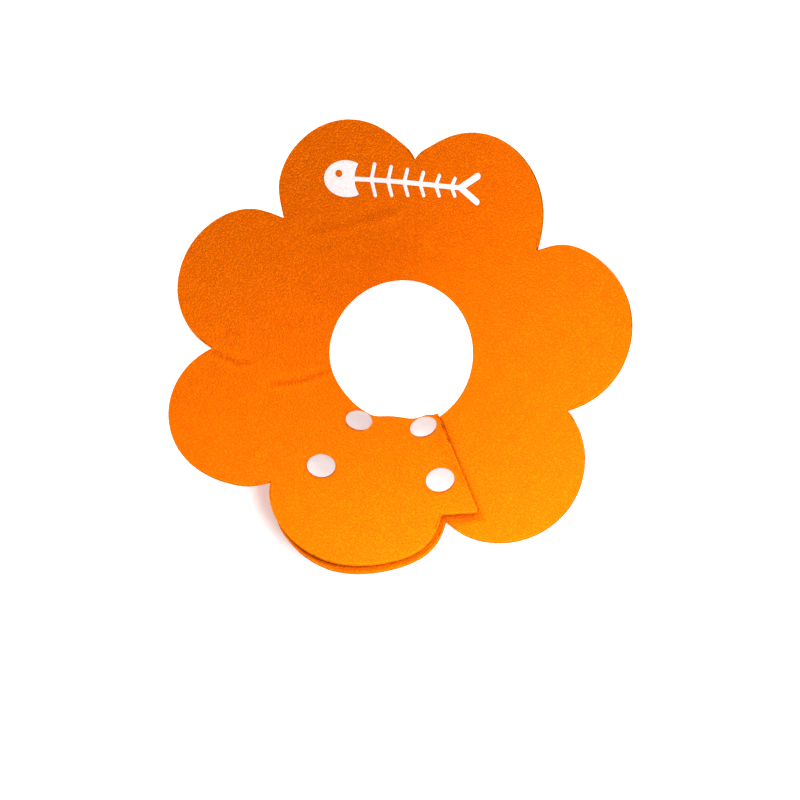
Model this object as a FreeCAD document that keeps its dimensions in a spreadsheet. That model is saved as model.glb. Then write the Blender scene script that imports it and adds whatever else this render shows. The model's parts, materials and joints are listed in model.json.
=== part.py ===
import FreeCAD, Part
import Sketcher
import math
import os

# Soft felt recovery collar for a small pet: a flower-shaped felt sheet, wrapped into a shallow bowl.
#
# The sheet is described by two numbers. `petal` counts petals round the neck from the middle of the lower
# overlapped petal (0) to the middle of the upper one (7), and notches lie at the halves. `reach` is the
# distance from the neck edge along the felt. `level` is the height above the outer face of the lower layer.
# Millimetres, +Z up out of the bowl, the closure towards -Y, the origin on the neck axis at the resting
# plane.

SIZES = (
    # alias, value, what it is
    ("neck_radius", 37.0, "mean radius of the neck opening"),
    ("neck_ovality", 0.046, "share by which the neck edge is longer one way"),
    ("neck_long_way", 14.0, "bearing of the longer way, degrees from the closure"),
    ("felt_thickness", 2.0, "thickness of the felt sheet"),
    ("foot_flat", 0.5, "how far the neck rim is pressed flat at the resting plane"),
    ("petals_round", 7.0, "petals in one turn when one petal is overlapped"),
    ("petal_circle", 90.2, "distance of a petal's centre from the centre of the flat blank"),
    ("petal_radius", 35.7, "radius of a petal's rounded edge"),
    ("bowl_slope", 37.5, "mean slope of the felt at the neck, degrees"),
    ("bowl_flare", 0.22, "how much flatter the felt lies per mm of reach, degrees"),
    ("lean_slope", 9.6, "extra slope on the side that stands steepest, degrees"),
    ("lean_way", 144.0, "bearing of the steepest side, degrees from the closure"),
    ("saddle_slope", 8.0, "extra slope where the felt bends twice round, degrees"),
    ("saddle_way", -20.5, "bearing of that bend, degrees from the closure"),
    ("drift_once", 1.1, "bunching of petals to one side, degrees"),
    ("drift_once_way", -136.0, "bearing of that bunching, degrees from the closure"),
    ("drift_twice", 2.0, "bunching of petals to two sides, degrees"),
    ("drift_twice_way", -8.4, "bearing of that bunching, degrees from the closure"),
    ("closure_flat", 1.9, "how far the neck edge is straightened between the snaps"),
    ("closure_middle", 5.3, "bearing of the middle between the snaps, degrees from the closure"),
    ("closure_half", 18.0, "half width of the straightened stretch, degrees"),
    ("layer_gap", 3.3, "space between the two layers, filled by the snaps"),
    ("rise_start", 5.2, "petal at which the sheet begins to climb over its other end"),
    ("rise_end", 6.36, "petal at which it is on top"),
    ("lower_petal_extra", 0.5, "how far the lower petal stands out past the upper one"),
    ("flap_fold", 6.28, "petal at which the upper end is folded back"),
    ("lower_fold", 0.88, "petal at which the lower end is folded down"),
    ("tab_end_neck", 7.825, "petal at which the upper tab ends, at the neck"),
    ("tab_end_rim", 7.706, "petal at which the upper tab ends, at its outer corner"),
    ("tab_reach", 59.5, "reach of the upper tab's outer corner"),
    ("margin_end_neck", -0.60, "petal at which the lower end's margin stops, at the neck"),
    ("margin_end_rim", -0.57, "petal at which the lower end's margin stops, at its outer corner"),
    ("margin_reach", 50.0, "reach of that margin's outer corner"),
    ("snap_reach_neck", 6.75, "reach of the snaps beside the neck"),
    ("snap_reach_rim", 38.9, "reach of the outer snaps"),
    ("snap_left", 6.655, "petal of the snaps on the left"),
    ("snap_right", 7.55, "petal of the snaps on the right"),
    ("cap_radius", 6.2, "radius of a snap's cap"),
    ("cap_rim", 0.45, "thickness of a cap at its rim"),
    ("cap_crown", 1.25, "thickness of a cap at its middle"),
    ("cap_sink_upper", 0.1, "how deep an upper cap presses into the felt"),
    ("cap_sink_lower", 0.65, "how deep a lower cap presses into the felt"),
    ("post_radius", 1.2, "radius of a cap's post"),
    ("post_hole", 1.4, "radius of the hole in the felt for a post"),
    ("rivet_radius", 1.9, "radius of the upper post's pressed end"),
    ("rivet_lower", 1.45, "radius of the lower post's pressed end"),
    ("rivet_height", 0.4, "height of a post's pressed end"),
    ("plate_bore", 1.25, "radius of the post hole in a socket or stud"),
    ("socket_radius", 5.3, "outer radius of a socket"),
    ("socket_height", 2.0, "height of a socket"),
    ("socket_floor", 0.6, "thickness of a socket's floor"),
    ("socket_mouth", 3.5, "radius of a socket's mouth"),
    ("stud_radius", 5.2, "radius of a stud's plate"),
    ("stud_plate", 0.8, "thickness of a stud's plate"),
    ("stud_seat", 0.25, "gap between the felt and a stud's plate, at its middle"),
    ("stud_neck", 2.6, "radius of a stud's head"),
    ("stud_bore", 1.6, "radius of the hollow in a stud's head"),
    ("stud_head", 1.1, "height of a stud's head"),
    ("seat_gap", 0.15, "gap between the felt and a part that sits on its convex face"),
    ("motif_film", 0.2, "height of the printed motif's face over the felt"),
    ("motif_seat", 0.03, "gap between the felt and the printed motif"),
    ("motif_reach", 48.0, "reach of the motif's middle line"),
    ("motif_petal", 3.57, "petal at the motif's middle"),
    ("motif_length", 80.0, "length of the motif"),
    ("motif_height", 17.0, "height of the motif at the fish's head"),
)

document = FreeCAD.newDocument("felt_collar")
sheet = document.addObject("Spreadsheet::Sheet", "Sizes")
for row, (alias, value, note) in enumerate(SIZES, 1):
    sheet.set("A%d" % row, alias)
    sheet.set("B%d" % row, str(value))
    sheet.set("C%d" % row, note)
    sheet.setAlias("B%d" % row, alias)
document.recompute()
parts = []


def size(alias):
    return float(sheet.get(alias))


def wave(bearing, times, way):
    """A swell round the neck: once or twice round, highest at the bearing `way` (degrees)."""
    return math.cos(times * (bearing - math.radians(size(way))))


def smooth(value):
    value = min(max(value, 0.0), 1.0)
    return value * value * (3.0 - 2.0 * value)


# ---------------------------------------------------------------- the felt surface
def bearing_of(petal):
    """Bearing round the neck of a petal coordinate, in radians from the closure."""
    turn = petal * 2.0 * math.pi / size("petals_round")
    drift = size("drift_once") * wave(turn, 1, "drift_once_way")
    drift += size("drift_twice") * wave(turn, 2, "drift_twice_way")
    return turn + math.radians(drift)


def closure_straight(bearing):
    """How far inward the neck edge lies where it is straightened between the snaps."""
    aside = abs(math.remainder(bearing - math.radians(size("closure_middle")), 2.0 * math.pi))
    across = min(aside / math.radians(size("closure_half")), 1.0)
    return size("closure_flat") * math.cos(math.pi / 2.0 * across) ** 2


def felt_point(petal, reach, level):
    bearing = bearing_of(petal)
    slope = math.radians(size("bowl_slope")
                         + size("lean_slope") * wave(bearing, 1, "lean_way")
                         + size("saddle_slope") * wave(bearing, 2, "saddle_way"))
    flare = math.radians(size("bowl_flare"))
    end_slope = slope - flare * reach
    out = size("neck_radius") * (1.0 + size("neck_ovality") * wave(bearing, 2, "neck_long_way"))
    out += (math.sin(slope) - math.sin(end_slope)) / flare - level * math.sin(end_slope)
    out -= closure_straight(bearing)
    up = (math.cos(end_slope) - math.cos(slope)) / flare + level * math.cos(end_slope)
    angle = bearing - math.pi / 2.0
    return FreeCAD.Vector(out * math.cos(angle), out * math.sin(angle), up - size("foot_flat"))


def felt_normal(petal, reach):
    """Direction square to the felt, into the bowl."""
    step = 0.01
    along = felt_point(petal, reach + step, 0.0) - felt_point(petal, reach - step, 0.0)
    around = felt_point(petal + step, reach, 0.0) - felt_point(petal - step, reach, 0.0)
    return along.cross(around).normalize()


def upper_level():
    return size("felt_thickness") + size("layer_gap")


def level_of(petal):
    """Height of the sheet's outer face: it climbs over its own lower end."""
    share = (petal - size("rise_start")) / (size("rise_end") - size("rise_start"))
    return upper_level() * smooth(share)


def petal_reach(petal):
    """Reach of the rounded petal edge, from the flat blank's arcs."""
    lean = math.cos(math.radians(size("bowl_slope")))
    swing = (petal - round(petal)) * 2.0 * math.pi / size("petals_round") * lean
    centre = size("petal_circle")
    across = centre * math.sin(swing)
    edge = centre * math.cos(swing) + math.sqrt(size("petal_radius") ** 2 - across ** 2)
    extra = size("lower_petal_extra") * math.cos(math.pi * petal) ** 2 if abs(petal) < 0.5 else 0.0
    return edge - size("neck_radius") / lean + extra + closure_straight(bearing_of(petal))


def petal_spot(petal, share):
    """Petal and reach of a point on a stretch of petals; share runs 0 to 1 from neck to edge."""
    return petal, share * petal_reach(petal)


def end_spot(notch, neck_alias, rim_alias, reach_alias):
    """Spots of the narrow strip past the last notch, whose end is a straight cut across the felt."""
    neck_end = size(neck_alias)
    rim_end = size(rim_alias)
    notch_reach = petal_reach(notch)

    def spot(petal, share):
        along = (petal - notch) / (neck_end - notch)
        end = neck_end + (rim_end - neck_end) * share
        reach = notch_reach + (size(reach_alias) - notch_reach) * along
        return notch + (end - notch) * along, share * reach
    return spot


def sheet_between(first, last, spot, columns, rows, lifts):
    """Bottom, top and the four edge surfaces of a layer from petal `first` to `last`."""
    faces = {}
    for side, lift in zip(("bottom", "top"), lifts):
        grid = []
        for column in range(columns):
            petal = first + (last - first) * column / (columns - 1.0)
            line = []
            for row_index in range(rows):
                place, reach = spot(petal, row_index / (rows - 1.0))
                line.append(felt_point(place, reach, level_of(place) + lift))
            grid.append(line)
        surface = Part.BSplineSurface()
        surface.interpolate(grid)
        faces[side] = surface
    edges = {}
    for side, surface in faces.items():
        low_u, high_u, low_v, high_v = surface.bounds()
        edges[side] = (surface.vIso(low_v), surface.vIso(high_v), surface.uIso(low_u), surface.uIso(high_u))
    names = ("neck", "rim", "start", "end")
    walls = {name: Part.makeRuledSurface(edges["bottom"][index].toShape(), edges["top"][index].toShape())
             for index, name in enumerate(names)}
    walls["bottom"] = faces["bottom"].toShape()
    walls["top"] = faces["top"].toShape()
    return walls


def felt_stretch(first, last, spot, columns):
    return sheet_between(first, last, spot, columns, 7, (0.0, size("felt_thickness")))


def closed_solid(faces):
    shell = Part.makeShell(faces)
    shell.sewShape()
    solid = Part.makeSolid(Part.Shell(shell.Faces))
    if solid.Volume < 0:
        solid.reverse()
    return solid


def felt_sheet(stretches):
    """One closed solid from neighbouring stretches: inner seams are left open, the two ends closed."""
    faces = []
    for index, walls in enumerate(stretches):
        names = ["top", "bottom", "neck", "rim"]
        if index == 0:
            names.append("start")
        if index == len(stretches) - 1:
            names.append("end")
        for name in names:
            faces += walls[name].Faces
    return closed_solid(faces)


def petal_stretches(first, last):
    """Stretches between two petal coordinates, split at the notches."""
    notches = [index + 0.5 for index in range(-1, 8) if first + 0.01 < index + 0.5 < last - 0.01]
    marks = [first] + notches + [last]
    return [felt_stretch(start, end, petal_spot, max(7, int(20 * (end - start)) + 1))
            for start, end in zip(marks[:-1], marks[1:])]


# ---------------------------------------------------------------- the snaps
SNAPS = (
    ("neck_left", "snap_left", "snap_reach_neck"),
    ("neck_right", "snap_right", "snap_reach_neck"),
    ("rim_left", "snap_left", "snap_reach_rim"),
    ("rim_right", "snap_right", "snap_reach_rim"),
)


def snap_place(petal_alias, reach_alias):
    """Foot of a snap on the outer face of the lower layer, its Z axis square to the felt."""
    petal = size(petal_alias) - size("petals_round")
    reach = size(reach_alias)
    turn = FreeCAD.Rotation(FreeCAD.Vector(0, 0, 1), felt_normal(petal, reach))
    return FreeCAD.Placement(felt_point(petal, reach, 0.0), turn)


def snap_cut(place, radius, low, high):
    """A round tool along a snap's axis, between two heights above the lower layer's outer face."""
    tool = Part.makeCylinder(radius, high - low, FreeCAD.Vector(0, 0, low))
    tool.Placement = place.multiply(tool.Placement)
    return tool


def add_shape(name, shape):
    piece = document.addObject("Part::Feature", name)
    piece.Label = name
    piece.Shape = shape
    parts.append(piece)
    return piece


def add_turned(name, profile, place):
    """A turned part. Each corner of its half section is (radius, height), written with the sheet's cells."""
    body = document.addObject("PartDesign::Body", name)
    body.Label = name
    origin = {item.Role: item for item in body.Origin.OriginFeatures}
    sketch = body.newObject("Sketcher::SketchObject", name + "_section")
    sketch.AttachmentSupport = [(origin["XZ_Plane"], "")]
    sketch.MapMode = "FlatFace"
    corners = [FreeCAD.Vector(sheet.evalExpression(radius), sheet.evalExpression(height), 0)
               for radius, height in profile]
    count = len(corners)
    for index in range(count):
        sketch.addGeometry(Part.LineSegment(corners[index], corners[(index + 1) % count]), False)
    for index in range(count):
        sketch.addConstraint(Sketcher.Constraint("Coincident", index, 2, (index + 1) % count, 1))
    for index, (radius, height) in enumerate(profile):
        if radius == "0":
            sketch.addConstraint(Sketcher.Constraint("PointOnObject", index, 1, -2))
        else:
            bound = sketch.addConstraint(Sketcher.Constraint("DistanceX", -1, 1, index, 1, corners[index].x))
            sketch.setExpression("Constraints[%d]" % bound, radius)
        bound = sketch.addConstraint(Sketcher.Constraint("DistanceY", -1, 1, index, 1, corners[index].y))
        sketch.setExpression("Constraints[%d]" % bound, height)
    turned = body.newObject("PartDesign::Revolution", name + "_turned")
    turned.Profile = sketch
    turned.ReferenceAxis = (origin["Z_Axis"], [""])
    turned.Angle = 360
    sketch.Visibility = False
    body.Placement = place
    parts.append(body)


# heights above the outer face of the lower layer, as expressions of the sheet's cells
FLAP_UNDER = "(Sizes.felt_thickness + Sizes.layer_gap)"
FLAP_TOP = "(2 * Sizes.felt_thickness + Sizes.layer_gap)"
UPPER_CAP_BASE = "(%s - Sizes.cap_sink_upper)" % FLAP_TOP
SOCKET_TOP = "(%s - Sizes.seat_gap)" % FLAP_UNDER
SOCKET_INSIDE = "(%s - Sizes.socket_floor)" % SOCKET_TOP
SOCKET_END = "(%s - Sizes.socket_height)" % SOCKET_TOP
STUD_BASE = "(Sizes.felt_thickness + Sizes.stud_seat)"
STUD_PLATE_TOP = "(%s + Sizes.stud_plate)" % STUD_BASE
STUD_END = "(%s + Sizes.stud_head)" % STUD_PLATE_TOP
LOWER_CAP_BASE = "Sizes.cap_sink_lower"

# the dome of a cap: share of its radius, and share of its height over the rim
DOME = ((0.0, 1.0), (0.35, 0.94), (0.65, 0.72), (0.87, 0.36), (1.0, 0.0))


def cap_section(base, side, plate_face, rivet):
    """Half section of a cap: a domed head, a post through the felt and its pressed end."""
    section = []
    for reach, height in DOME:
        radius = "0" if reach == 0.0 else "%.2f * Sizes.cap_radius" % reach
        dome = "(Sizes.cap_rim + %.2f * (Sizes.cap_crown - Sizes.cap_rim))" % height
        section.append((radius, "%s %s %s" % (base, side, dome)))
    pressed_end = "%s %s Sizes.rivet_height" % (plate_face, "-" if side == "+" else "+")
    section += [("Sizes.cap_radius", base), ("Sizes.post_radius", base),
                ("Sizes.post_radius", plate_face), (rivet, plate_face),
                (rivet, pressed_end), ("0", pressed_end)]
    return section


SOCKET_SECTION = [("Sizes.plate_bore", SOCKET_TOP), ("Sizes.socket_radius", SOCKET_TOP),
                  ("Sizes.socket_radius", SOCKET_END), ("Sizes.socket_mouth", SOCKET_END),
                  ("Sizes.socket_mouth", SOCKET_INSIDE), ("Sizes.plate_bore", SOCKET_INSIDE)]
STUD_SECTION = [("Sizes.plate_bore", STUD_BASE), ("Sizes.stud_radius", STUD_BASE),
                ("Sizes.stud_radius", STUD_PLATE_TOP), ("Sizes.stud_neck", STUD_PLATE_TOP),
                ("Sizes.stud_neck", STUD_END), ("Sizes.stud_bore", STUD_END),
                ("Sizes.stud_bore", STUD_PLATE_TOP), ("Sizes.plate_bore", STUD_PLATE_TOP)]


def add_snaps():
    for name, petal, reach in SNAPS:
        place = snap_place(petal, reach)
        upper_cap = cap_section(UPPER_CAP_BASE, "+", SOCKET_INSIDE, "Sizes.rivet_radius")
        lower_cap = cap_section(LOWER_CAP_BASE, "-", STUD_PLATE_TOP, "Sizes.rivet_lower")
        add_turned("upper_cap_" + name, upper_cap, place)
        add_turned("socket_" + name, SOCKET_SECTION, place)
        add_turned("stud_" + name, STUD_SECTION, place)
        add_turned("lower_cap_" + name, lower_cap, place)


# ---------------------------------------------------------------- the felt pieces
RECESS_PLAY = 0.15
CLEAR = 4.0


def add_felt():
    thickness = size("felt_thickness")
    recess = size("cap_radius") + RECESS_PLAY
    flap_top = upper_level() + thickness
    flap_tools = []
    lower_tools = []
    for name, petal, reach in SNAPS:
        place = snap_place(petal, reach)
        flap_tools.append(snap_cut(place, size("post_hole"), upper_level() - 1.0, flap_top + 1.0))
        flap_tools.append(snap_cut(place, recess, flap_top - size("cap_sink_upper"), flap_top + CLEAR))
        lower_tools.append(snap_cut(place, size("post_hole"), -1.0, thickness + 1.0))
        lower_tools.append(snap_cut(place, recess, -CLEAR, size("cap_sink_lower")))
    below = Part.makeBox(400, 400, 20, FreeCAD.Vector(-200, -200, -20))

    ring = felt_sheet(petal_stretches(size("lower_fold"), size("flap_fold")))
    add_shape("felt_ring", ring.cut(below))

    tab_spot = end_spot(7.5, "tab_end_neck", "tab_end_rim", "tab_reach")
    tab = felt_stretch(7.5, size("tab_end_neck"), tab_spot, 7)
    flap = felt_sheet(petal_stretches(size("flap_fold"), 7.5) + [tab])
    add_shape("felt_flap", flap.cut(flap_tools))

    margin_spot = end_spot(-0.5, "margin_end_neck", "margin_end_rim", "margin_reach")
    margin = felt_stretch(size("margin_end_neck"), -0.5, margin_spot, 7)
    lower = felt_sheet([margin] + petal_stretches(-0.5, size("lower_fold")))
    add_shape("felt_under_petal", lower.cut(lower_tools + [below]))


# ---------------------------------------------------------------- the printed motif, a fish bone
RIBS = 6
STROKE = 0.11
SPINE_STROKE = 0.13
HEAD_LENGTH = 0.24
BROW = (0.13, 0.40)
CHEEK = (0.05, 0.27)
GILL = 0.05
EYE = (0.12, 0.15)
EYE_SIZE = 0.09
RIBS_START = 0.05
RIBS_LENGTH = 0.52
RIB_LEAN = 0.02
RIB_LONGEST = 0.42
RIB_TAPER = 0.20
FORK = 0.12
FORK_HEIGHT = 0.40
TAIL_NOTCH = 0.035
MOTIF_SPAN = 0.8


def bar(x0, y0, x1, y1, width):
    """A straight stroke between two points, as a flat face."""
    along = FreeCAD.Vector(x1 - x0, y1 - y0, 0)
    side = FreeCAD.Vector(-along.y, along.x, 0).normalize() * (width / 2.0)
    start = FreeCAD.Vector(x0, y0, 0)
    corners = [start - side, start + along - side, start + along + side, start + side, start - side]
    return Part.Face(Part.makePolygon(corners))


def motif_outline():
    """Flat fish bone, its head to the left, centred on its spine."""
    length = size("motif_length")
    height = size("motif_height")
    left = -length / 2.0
    right = length / 2.0
    head_end = left + HEAD_LENGTH * length

    def spot(along, above):
        return FreeCAD.Vector(left + along * length, above * height, 0)
    nose = spot(0.0, 0.0)
    brow = spot(BROW[0], BROW[1])
    chin = spot(BROW[0], -BROW[1])
    nape = spot(HEAD_LENGTH, 0.5)
    throat = spot(HEAD_LENGTH, -0.5)
    edges = [Part.Arc(nose, spot(CHEEK[0], CHEEK[1]), brow).toShape(),
             Part.LineSegment(brow, nape).toShape(),
             Part.Arc(nape, spot(HEAD_LENGTH - GILL, 0.0), throat).toShape(),
             Part.LineSegment(throat, chin).toShape(),
             Part.Arc(chin, spot(CHEEK[0], -CHEEK[1]), nose).toShape()]
    head = Part.Face(Part.Wire(edges))
    eye = Part.Face(Part.Wire(Part.makeCircle(EYE_SIZE * height, spot(EYE[0], EYE[1]))))
    fork = right - FORK * length
    faces = [head.cut(eye), bar(head_end - GILL * length, 0, fork, 0, SPINE_STROKE * height)]
    for index in range(RIBS):
        share = index / (RIBS - 1.0)
        x = head_end + (RIBS_START + RIBS_LENGTH * share) * length
        lean = RIB_LEAN * length
        half = (RIB_LONGEST - RIB_TAPER * share) * height
        faces.append(bar(x + lean, -half, x, 0, STROKE * height))
        faces.append(bar(x, 0, x + lean, half, STROKE * height))
    above = FreeCAD.Vector(right, FORK_HEIGHT * height, 0)
    below = FreeCAD.Vector(right, -FORK_HEIGHT * height, 0)
    point = FreeCAD.Vector(fork, 0, 0)
    notch = FreeCAD.Vector(right - TAIL_NOTCH * length, 0, 0)
    faces.append(Part.Face(Part.makePolygon([point, above, notch, below, point])))
    return faces


def add_motif():
    thickness = size("felt_thickness")
    middle = size("motif_petal")
    reach = size("motif_reach")
    height = size("motif_height")

    def film_spot(petal, share):
        return petal, reach + (2.0 * share - 1.0) * height
    film = sheet_between(middle - MOTIF_SPAN, middle + MOTIF_SPAN, film_spot, 17, 9,
                         (thickness + size("motif_seat"), thickness + size("motif_film")))
    layer = closed_solid([face for wall in film.values() for face in wall.Faces])

    normal = felt_normal(middle, reach)
    outward = (felt_point(middle, reach + 1.0, 0) - felt_point(middle, reach - 1.0, 0)).normalize()
    around = outward.cross(normal)
    centre = felt_point(middle, reach, thickness)
    turn = FreeCAD.Rotation(around, outward, normal, "ZXY")
    prisms = []
    for face in motif_outline():
        prism = face.extrude(FreeCAD.Vector(0, 0, 50))
        prism.Placement = FreeCAD.Placement(centre - normal * 20, turn)
        prisms.append(prism)
    strokes = prisms[0].fuse(prisms[1:])
    add_shape("printed_motif", layer.common(strokes))


add_felt()
add_snaps()
add_motif()
document.recompute()

for item in document.Objects:
    if "Invalid" in item.State or "Error" in item.State:
        raise RuntimeError("%s failed: %s" % (item.Label, item.State))
os.makedirs("parts", exist_ok=True)
for piece in parts:
    shape = piece.Shape
    if shape.isNull() or not shape.isValid() or not shape.Solids:
        raise RuntimeError("%s has no valid solid" % piece.Label)
for piece in parts:
    piece.Shape.exportStep("parts/%s.step" % piece.Label)
    box = piece.Shape.BoundBox
    print("%-24s volume %9.2f  z %.2f to %.2f" % (piece.Label, piece.Shape.Volume, box.ZMin, box.ZMax))
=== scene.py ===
"""Looks of the felt recovery collar: two felt sheets, eight snap caps and a printed fish bone.

The felt is described as on the flat blank it is cut from. `petal` counts petals round the neck from the
middle of the lower overlapped petal (0) to the middle of the upper one (7), notches lie at the halves,
and `reach` is the distance from the neck edge along the felt. `level` is the height above the outer face
of the lower layer. Metres, with +Z up out of the bowl, the closure towards -Y and the origin on the neck
axis at the floor.
"""
import json
import math

import bpy
import numpy as np
from mathutils import Matrix, Vector, noise


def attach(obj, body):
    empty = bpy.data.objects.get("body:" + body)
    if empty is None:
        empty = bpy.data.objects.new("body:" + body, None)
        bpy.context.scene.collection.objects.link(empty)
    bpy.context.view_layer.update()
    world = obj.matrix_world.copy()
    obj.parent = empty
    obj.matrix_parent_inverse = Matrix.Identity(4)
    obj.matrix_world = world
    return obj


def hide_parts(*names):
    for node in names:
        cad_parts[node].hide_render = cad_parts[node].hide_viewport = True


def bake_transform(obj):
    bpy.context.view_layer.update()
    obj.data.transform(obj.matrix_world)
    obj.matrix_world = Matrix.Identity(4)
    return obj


MM = 0.001

# ---------------------------------------------------------------- sizes, the same as the CAD model's
# slopes, ways and drifts are in degrees, the flare in degrees per metre, ends and rises in petals
NECK_RADIUS = 37.0 * MM
NECK_OVALITY = 0.046
NECK_LONG_WAY = 14.0
THICKNESS = 2.0 * MM
FOOT_FLAT = 0.5 * MM
PETALS_ROUND = 7.0
PETAL_CIRCLE = 90.2 * MM
PETAL_RADIUS = 35.7 * MM
BOWL_SLOPE = 37.5
BOWL_FLARE = 220.0
LEAN_SLOPE, LEAN_WAY = 9.6, 144.0
SADDLE_SLOPE, SADDLE_WAY = 8.0, -20.5
CLOSURE_FLAT, CLOSURE_MIDDLE, CLOSURE_HALF = 1.9 * MM, 5.3, 18.0
DRIFT_ONCE, DRIFT_ONCE_WAY = 1.1, -136.0
DRIFT_TWICE, DRIFT_TWICE_WAY = 2.0, -8.4
LAYER_GAP = 3.3 * MM
UPPER_LEVEL = THICKNESS + LAYER_GAP
RISE_START, RISE_END = 5.2, 6.36
TAB_END_NECK, TAB_END_RIM, TAB_REACH = 7.825, 7.706, 59.5 * MM
MARGIN_END_NECK, MARGIN_END_RIM, MARGIN_REACH = -0.60, -0.57, 50.0 * MM
SEAM = 3.5
SNAP_REACH_NECK, SNAP_REACH_RIM = 6.75 * MM, 38.9 * MM
SNAP_LEFT, SNAP_RIGHT = 6.655, 7.55
CAP_RADIUS = 6.2 * MM
PETAL_DEPTH = 79.3 * MM
# what the straightened neck edge takes off the reach of the petal at the closure
TIP_LOSS = 0.87 * CLOSURE_FLAT
MOTIF_PETAL, MOTIF_REACH = 3.57, 48.0 * MM
MOTIF_LENGTH, MOTIF_HEIGHT, MOTIF_FILM = 80.0 * MM, 17.0 * MM, 0.12 * MM

LEAN = math.cos(math.radians(BOWL_SLOPE))
PETAL_TURN = 2.0 * math.pi / PETALS_ROUND * LEAN
NECK_FLAT = NECK_RADIUS / LEAN

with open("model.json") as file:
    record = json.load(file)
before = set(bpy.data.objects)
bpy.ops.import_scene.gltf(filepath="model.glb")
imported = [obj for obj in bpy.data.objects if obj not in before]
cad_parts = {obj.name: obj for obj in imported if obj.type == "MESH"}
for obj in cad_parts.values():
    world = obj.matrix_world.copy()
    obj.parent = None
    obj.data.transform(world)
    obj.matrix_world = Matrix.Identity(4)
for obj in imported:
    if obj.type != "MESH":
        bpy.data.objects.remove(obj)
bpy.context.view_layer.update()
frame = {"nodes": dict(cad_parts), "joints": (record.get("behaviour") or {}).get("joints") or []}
collection = bpy.context.scene.collection


def smooth(value):
    value = np.clip(value, 0.0, 1.0)
    return value * value * (3.0 - 2.0 * value)


# ---------------------------------------------------------------- the felt surface
def wave(bearing, times, way):
    return np.cos(times * (bearing - math.radians(way)))


def bearing_of(petal):
    """Bearing round the neck, in radians from the closure."""
    turn = petal * 2.0 * math.pi / PETALS_ROUND
    drift = DRIFT_ONCE * wave(turn, 1, DRIFT_ONCE_WAY) + DRIFT_TWICE * wave(turn, 2, DRIFT_TWICE_WAY)
    return turn + np.radians(drift)


def closure_straight(bearing):
    """How far inward the neck edge lies where it is straightened between the snaps."""
    aside = np.abs(np.remainder(bearing - math.radians(CLOSURE_MIDDLE) + math.pi, 2.0 * math.pi) - math.pi)
    return CLOSURE_FLAT * np.cos(math.pi / 2.0 * np.minimum(aside / math.radians(CLOSURE_HALF), 1.0)) ** 2


def felt_point(petal, reach, level):
    """Place in the frame of points given by petal, reach and level (arrays)."""
    bearing = bearing_of(petal)
    slope = np.radians(BOWL_SLOPE + LEAN_SLOPE * wave(bearing, 1, LEAN_WAY)
                       + SADDLE_SLOPE * wave(bearing, 2, SADDLE_WAY))
    flare = math.radians(BOWL_FLARE)
    end_slope = slope - flare * reach
    out = NECK_RADIUS * (1.0 + NECK_OVALITY * wave(bearing, 2, NECK_LONG_WAY))
    out = out + (np.sin(slope) - np.sin(end_slope)) / flare - level * np.sin(end_slope)
    out = out - closure_straight(bearing)
    up = (np.cos(end_slope) - np.cos(slope)) / flare + level * np.cos(end_slope)
    angle = bearing - math.pi / 2.0
    return np.stack([out * np.cos(angle), out * np.sin(angle), up - FOOT_FLAT], axis=-1)


def felt_normal(petal, reach):
    """Direction square to the felt, into the bowl, at one place."""
    step, along = 0.01, 0.01 * MM
    points = felt_point(np.array([petal, petal, petal - step, petal + step]),
                        np.array([reach - along, reach + along, reach, reach]), np.zeros(4))
    normal = np.cross(points[1] - points[0], points[3] - points[2])
    return normal / np.linalg.norm(normal)


def climb(petal):
    """0 where the felt lies low, 1 where it has climbed over its own lower end."""
    return smooth((petal - RISE_START) / (RISE_END - RISE_START))


# ---------------------------------------------------------------- the flat blank
def to_flat(petal, reach):
    radius, turn = NECK_FLAT + reach, petal * PETAL_TURN
    return np.stack([radius * np.sin(turn), radius * np.cos(turn)], axis=-1)


BLANK_START = -30.0


def from_flat(flat):
    """Petal and reach of points of the flat blank. Its bearings run on from BLANK_START, in the gap."""
    start = math.radians(BLANK_START)
    turn = np.mod(np.arctan2(flat[..., 0], flat[..., 1]) - start, 2.0 * math.pi) + start
    return turn / PETAL_TURN, np.linalg.norm(flat, axis=-1) - NECK_FLAT


def ripple(flat, wavelength, seed):
    """Smooth noise over the flat blank, about -1 to 1."""
    points = flat.reshape(-1, 2) / wavelength
    values = [noise.noise(Vector((x, y, seed))) for x, y in points.tolist()]
    return np.array(values).reshape(flat.shape[:-1])


def ripples(flat, table):
    """Sum of ripples, each given as (height, wavelength, seed)."""
    return sum(height * ripple(flat, wavelength, seed) for height, wavelength, seed in table)


def distance_to_line(flat, *spots):
    """Distance of flat points to a bent line through (petal, reach) spots, and how far along it."""
    corners = np.array([to_flat(np.array(p), np.array(r)) for p, r in spots])
    lengths = np.linalg.norm(np.diff(corners, axis=0), axis=1)
    starts = np.concatenate([[0.0], np.cumsum(lengths)])
    best = np.full(flat.shape[:-1], 1.0)
    along = np.zeros(flat.shape[:-1])
    for index, length in enumerate(lengths):
        direction = (corners[index + 1] - corners[index]) / length
        offset = flat - corners[index]
        share = np.clip(offset @ direction, 0.0, length)
        gap = np.linalg.norm(offset - share[..., None] * direction, axis=-1)
        nearer = gap < best
        best = np.where(nearer, gap, best)
        along = np.where(nearer, (starts[index] + share) / starts[-1], along)
    return best, along


# waves: height, wavelength and seed
SLOW_WAVES = ((0.55 * MM, 46.0 * MM, 3.7), (0.30 * MM, 19.0 * MM, 8.2))
CLUMPS = ((0.07 * MM, 5.0 * MM, 1.3), (0.05 * MM, 2.4 * MM, 5.9))
FRAYED_EDGE = ((0.05 * MM, 1.7 * MM, 9.1), (0.04 * MM, 6.0 * MM, 4.4))
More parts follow.
